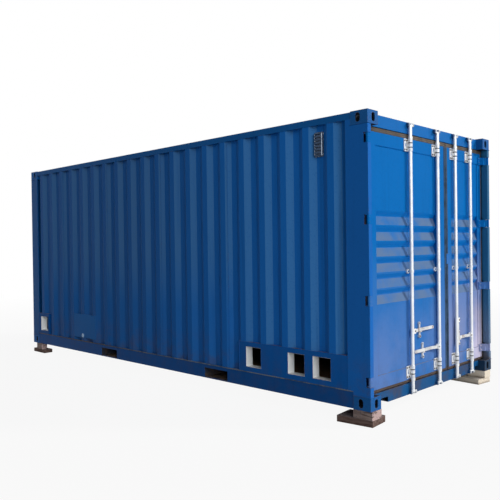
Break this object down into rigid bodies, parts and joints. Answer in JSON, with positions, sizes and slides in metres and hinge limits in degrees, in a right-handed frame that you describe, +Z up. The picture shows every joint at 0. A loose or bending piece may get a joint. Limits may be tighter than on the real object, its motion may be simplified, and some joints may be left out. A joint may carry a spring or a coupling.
{
  "type": "shipping container",
  "caption": "Standard dry freight container on timber packing, with corrugated walls, hinged end doors, locking bars and lined cut-outs low in one side",
  "frame": {"origin": "centre of the footprint, on the ground under the timber packing", "axes": "+X along the length towards the doors, +Y towards the plain side, +Z up"},
  "size_m": [6.058, 2.454, 2.729],
  "materials": {
    "blank_plate": "painted steel, weathered",
    "bottom_casting_door_left": "cast steel, painted",
    "bottom_casting_door_right": "cast steel, painted",
    "bottom_casting_front_left": "cast steel, painted",
    "bottom_casting_front_right": "cast steel, painted",
    "cross_members": "painted steel, weathered",
    "cutout_linings": "white painted sheet",
    "door_header": "painted steel, weathered",
    "door_sill": "painted steel, weathered",
    "floor": "plywood, oiled",
    "fork_pockets": "painted steel, weathered",
    "front_boards": "raw weathered timber",
    "front_bottom_rail": "painted steel, weathered",
    "front_lower_panel": "painted steel, weathered",
    "front_top_rail": "painted steel, weathered",
    "front_wall": "painted steel, weathered",
    "handle_1": "galvanised",
    "handle_2": "galvanised",
    "handle_3": "galvanised",
    "handle_4": "galvanised",
    "left_bar_bearings": "galvanised",
    "left_bottom_side_rail": "painted steel, weathered",
    "left_door_leaf": "painted steel, weathered",
    "left_door_post": "painted steel, weathered",
    "left_door_seal": "rubber, aged brown",
    "left_front_post": "painted steel, weathered",
    "left_handle_catches": "galvanised",
    "left_hinge_blades": "painted steel, weathered",
    "left_top_side_rail": "painted steel, weathered",
    "left_wall": "painted steel, weathered",
    "locking_bar_1": "galvanised",
    "locking_bar_2": "galvanised",
    "locking_bar_3": "galvanised",
    "locking_bar_4": "galvanised",
    "lower_cam_keepers": "galvanised",
    "rear_lower_panel": "painted steel, weathered",
    "rear_sleepers": "raw weathered timber",
    "right_bar_bearings": "galvanised",
    "right_bottom_side_rail": "painted steel, weathered",
    "right_door_leaf": "painted steel, weathered",
    "right_door_post": "painted steel, weathered",
    "right_door_seal": "rubber, aged brown",
    "right_front_post": "painted steel, weathered",
    "right_handle_catches": "galvanised",
    "right_hinge_blades": "painted steel, weathered",
    "right_top_side_rail": "painted steel, weathered",
    "right_wall": "painted steel, weathered",
    "roof": "painted steel, weathered",
    "top_corner_castings": "cast steel, painted",
    "upper_cam_keepers": "galvanised",
    "wall_vent": "painted steel, weathered"
  },
  "bodies": {
    "container": {"blank_plate": "blank_plate", "bottom_casting_door_left": "bottom_casting_door_left", "bottom_casting_door_right": "bottom_casting_door_right", "bottom_casting_front_left": "bottom_casting_front_left", "bottom_casting_front_right": "bottom_casting_front_right", "cross_members": "cross_members", "cutout_linings": "cutout_linings", "door_header": "door_header", "door_sill": "door_sill", "floor": "floor", "fork_pockets": "fork_pockets", "front_boards": "front_boards", "front_bottom_rail": "front_bottom_rail", "front_lower_panel": "front_lower_panel", "front_top_rail": "front_top_rail", "front_wall": "front_wall", "left_bottom_side_rail": "left_bottom_side_rail", "left_door_post": "left_door_post", "left_front_post": "left_front_post", "left_top_side_rail": "left_top_side_rail", "left_wall": "left_wall", "lower_cam_keepers": "lower_cam_keepers", "rear_lower_panel": "rear_lower_panel", "rear_sleepers": "rear_sleepers", "right_bottom_side_rail": "right_bottom_side_rail", "right_door_post": "right_door_post", "right_front_post": "right_front_post", "right_top_side_rail": "right_top_side_rail", "right_wall": "right_wall", "roof": "roof", "top_corner_castings": "top_corner_castings", "upper_cam_keepers": "upper_cam_keepers", "wall_vent": "wall_vent"},
    "left_door": {"left_door_leaf": "left_door_leaf", "left_door_seal": "left_door_seal", "left_hinge_blades": "left_hinge_blades", "left_bar_bearings": "left_bar_bearings", "left_handle_catches": "left_handle_catches"},
    "right_door": {"right_door_leaf": "right_door_leaf", "right_door_seal": "right_door_seal", "right_hinge_blades": "right_hinge_blades", "right_bar_bearings": "right_bar_bearings", "right_handle_catches": "right_handle_catches"},
    "bar_1": {"locking_bar_1": "locking_bar_1"},
    "lever_1": {"handle_1": "handle_1"},
    "bar_2": {"locking_bar_2": "locking_bar_2"},
    "lever_2": {"handle_2": "handle_2"},
    "bar_3": {"locking_bar_3": "locking_bar_3"},
    "lever_3": {"handle_3": "handle_3"},
    "bar_4": {"locking_bar_4": "locking_bar_4"},
    "lever_4": {"handle_4": "handle_4"}
  },
  "joints": [
    {"name": "left_door_hinge", "type": "hinge", "parent": "container", "child": "left_door", "pos_m": [3.016, -1.206, 1.438], "axis": [0, 0, -1], "range_deg": [0, 270]},
    {"name": "right_door_hinge", "type": "hinge", "parent": "container", "child": "right_door", "pos_m": [3.016, 1.206, 1.438], "axis": [0, 0, 1], "range_deg": [0, 270]},
    {"name": "bar_1_turn", "type": "hinge", "parent": "left_door", "child": "bar_1", "pos_m": [2.976, -0.42, 1.438], "axis": [0, 0, 1], "range_deg": [-90, 0]},
    {"name": "bar_2_turn", "type": "hinge", "parent": "left_door", "child": "bar_2", "pos_m": [2.976, 0.112, 1.438], "axis": [0, 0, -1], "range_deg": [-90, 0]},
    {"name": "bar_3_turn", "type": "hinge", "parent": "right_door", "child": "bar_3", "pos_m": [2.976, 0.496, 1.438], "axis": [0, 0, 1], "range_deg": [-90, 0]},
    {"name": "bar_4_turn", "type": "hinge", "parent": "right_door", "child": "bar_4", "pos_m": [2.976, 0.847, 1.438], "axis": [0, 0, -1], "range_deg": [-90, 0]},
    {"name": "handle_1_lift", "type": "hinge", "parent": "bar_1", "child": "lever_1", "pos_m": [2.976, -0.388, 0.74], "axis": [1, 0, 0], "range_deg": [0, 40]},
    {"name": "handle_2_lift", "type": "hinge", "parent": "bar_2", "child": "lever_2", "pos_m": [2.976, 0.08, 0.534], "axis": [-1, 0, 0], "range_deg": [0, 15]},
    {"name": "handle_3_lift", "type": "hinge", "parent": "bar_3", "child": "lever_3", "pos_m": [2.976, 0.528, 0.76], "axis": [1, 0, 0], "range_deg": [0, 90]},
    {"name": "handle_4_lift", "type": "hinge", "parent": "bar_4", "child": "lever_4", "pos_m": [2.976, 0.815, 0.568], "axis": [-1, 0, 0], "range_deg": [0, 40]}
  ]
}
